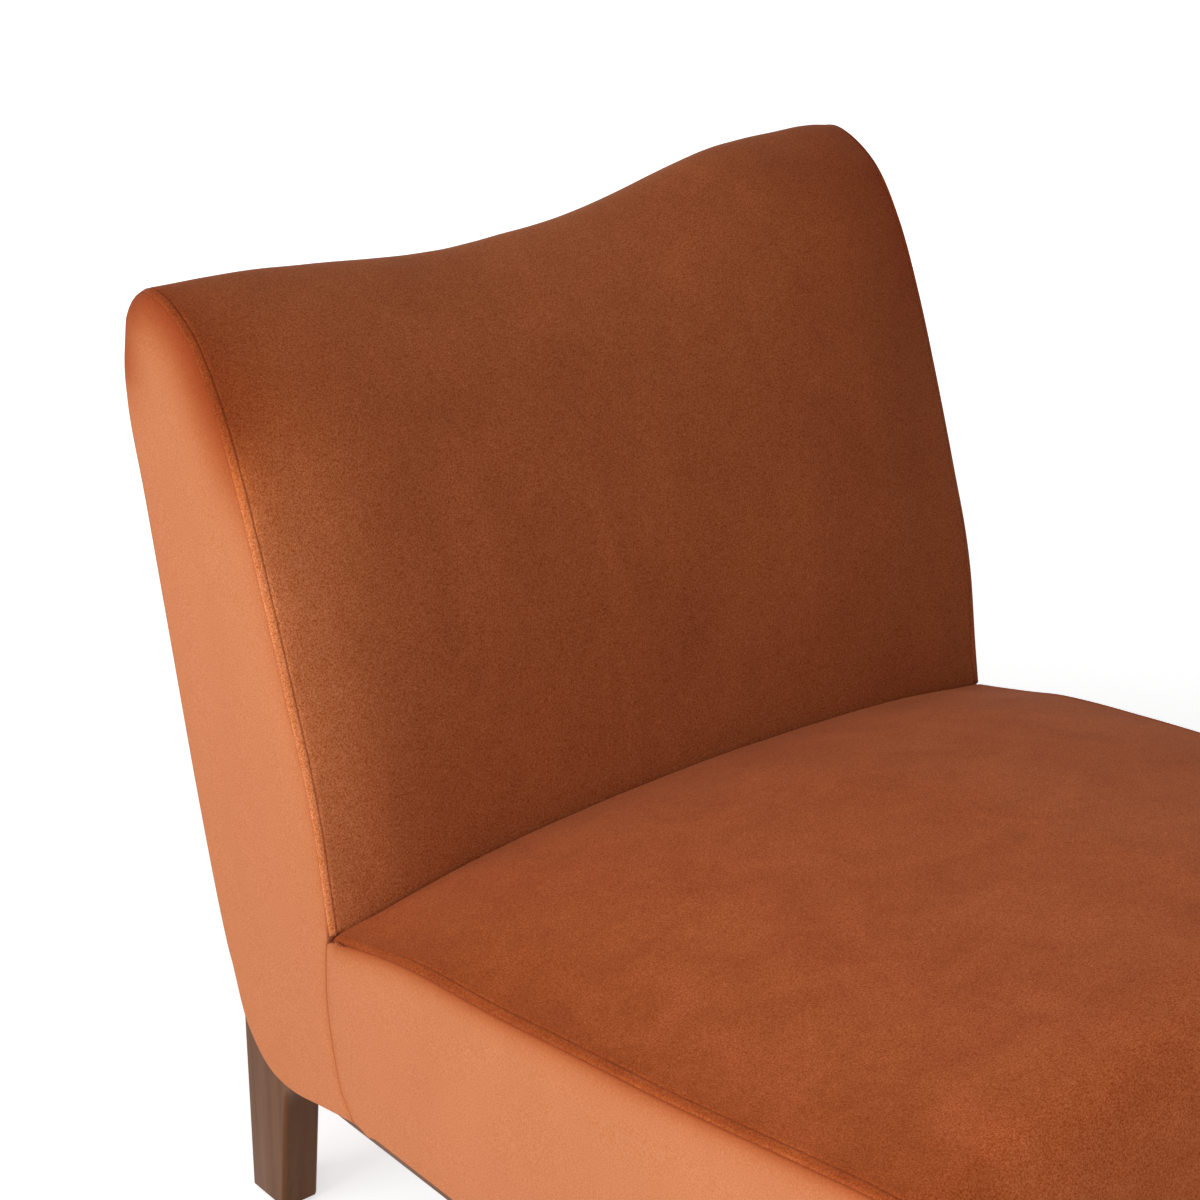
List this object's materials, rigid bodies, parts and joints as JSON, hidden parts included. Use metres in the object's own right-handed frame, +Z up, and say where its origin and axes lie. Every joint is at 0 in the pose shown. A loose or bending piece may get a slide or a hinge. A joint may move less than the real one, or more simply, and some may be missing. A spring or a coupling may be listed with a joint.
{
  "type": "slipper chair",
  "caption": "Armless low lounge chair with a leaning, saddle-topped back, a crowned seat that rolls down at the front, topstitched side bands, and tapered wooden legs under inset rails.",
  "frame": {"origin": "on the floor, under the centre of the chair's bounding box", "axes": "+X across the chair, to the right as seen from the front; +Y to the rear; +Z up. The seat faces -Y. The chair is mirror-symmetric in X."},
  "size_m": [0.64, 0.8517, 0.7238],
  "materials": {
    "velvet": "matte",
    "walnut": "satin",
    "frame_wood": "matte",
    "foam": "matte",
    "black_cloth": "matte",
    "webbing": "matte",
    "spring_steel": "satin",
    "nylon": "matte"
  },
  "bodies": {
    "root": {"back_cover": "velvet", "seat_cover": "velvet", "outside_back_cover": "velvet", "back_side_panel_left": "velvet", "back_side_panel_right": "velvet", "seat_side_panel_left": "velvet", "seat_side_panel_right": "velvet", "back_foam": "foam", "seat_foam": "foam", "back_post_left": "frame_wood", "back_post_right": "frame_wood", "back_top_rail": "frame_wood", "back_lumbar_rail": "frame_wood", "back_strap_1": "webbing", "back_strap_2": "webbing", "back_strap_3": "webbing", "back_strap_4": "webbing", "seat_rail_left": "frame_wood", "seat_rail_right": "frame_wood", "seat_rail_front": "frame_wood", "seat_rail_rear": "frame_wood", "corner_block_front_left": "frame_wood", "corner_block_rear_left": "frame_wood", "corner_block_front_right": "frame_wood", "corner_block_rear_right": "frame_wood", "seat_spring_1": "spring_steel", "spring_clip_front_1": "spring_steel", "spring_clip_rear_1": "spring_steel", "seat_spring_2": "spring_steel", "spring_clip_front_2": "spring_steel", "spring_clip_rear_2": "spring_steel", "seat_spring_3": "spring_steel", "spring_clip_front_3": "spring_steel", "spring_clip_rear_3": "spring_steel", "seat_spring_4": "spring_steel", "spring_clip_front_4": "spring_steel", "spring_clip_rear_4": "spring_steel", "seat_insulator": "black_cloth", "leg_rear_left": "walnut", "glide_rear_left": "nylon", "leg_bolt_rear_left": "spring_steel", "leg_rear_right": "walnut", "glide_rear_right": "nylon", "leg_bolt_rear_right": "spring_steel", "leg_front_left": "walnut", "glide_front_left": "nylon", "leg_bolt_front_left": "spring_steel", "leg_front_right": "walnut", "glide_front_right": "nylon", "leg_bolt_front_right": "spring_steel", "base_rail_left": "walnut", "base_rail_right": "walnut", "base_rail_front": "walnut", "base_rail_rear": "walnut", "dust_cover": "black_cloth"}
  },
  "joints": []
}
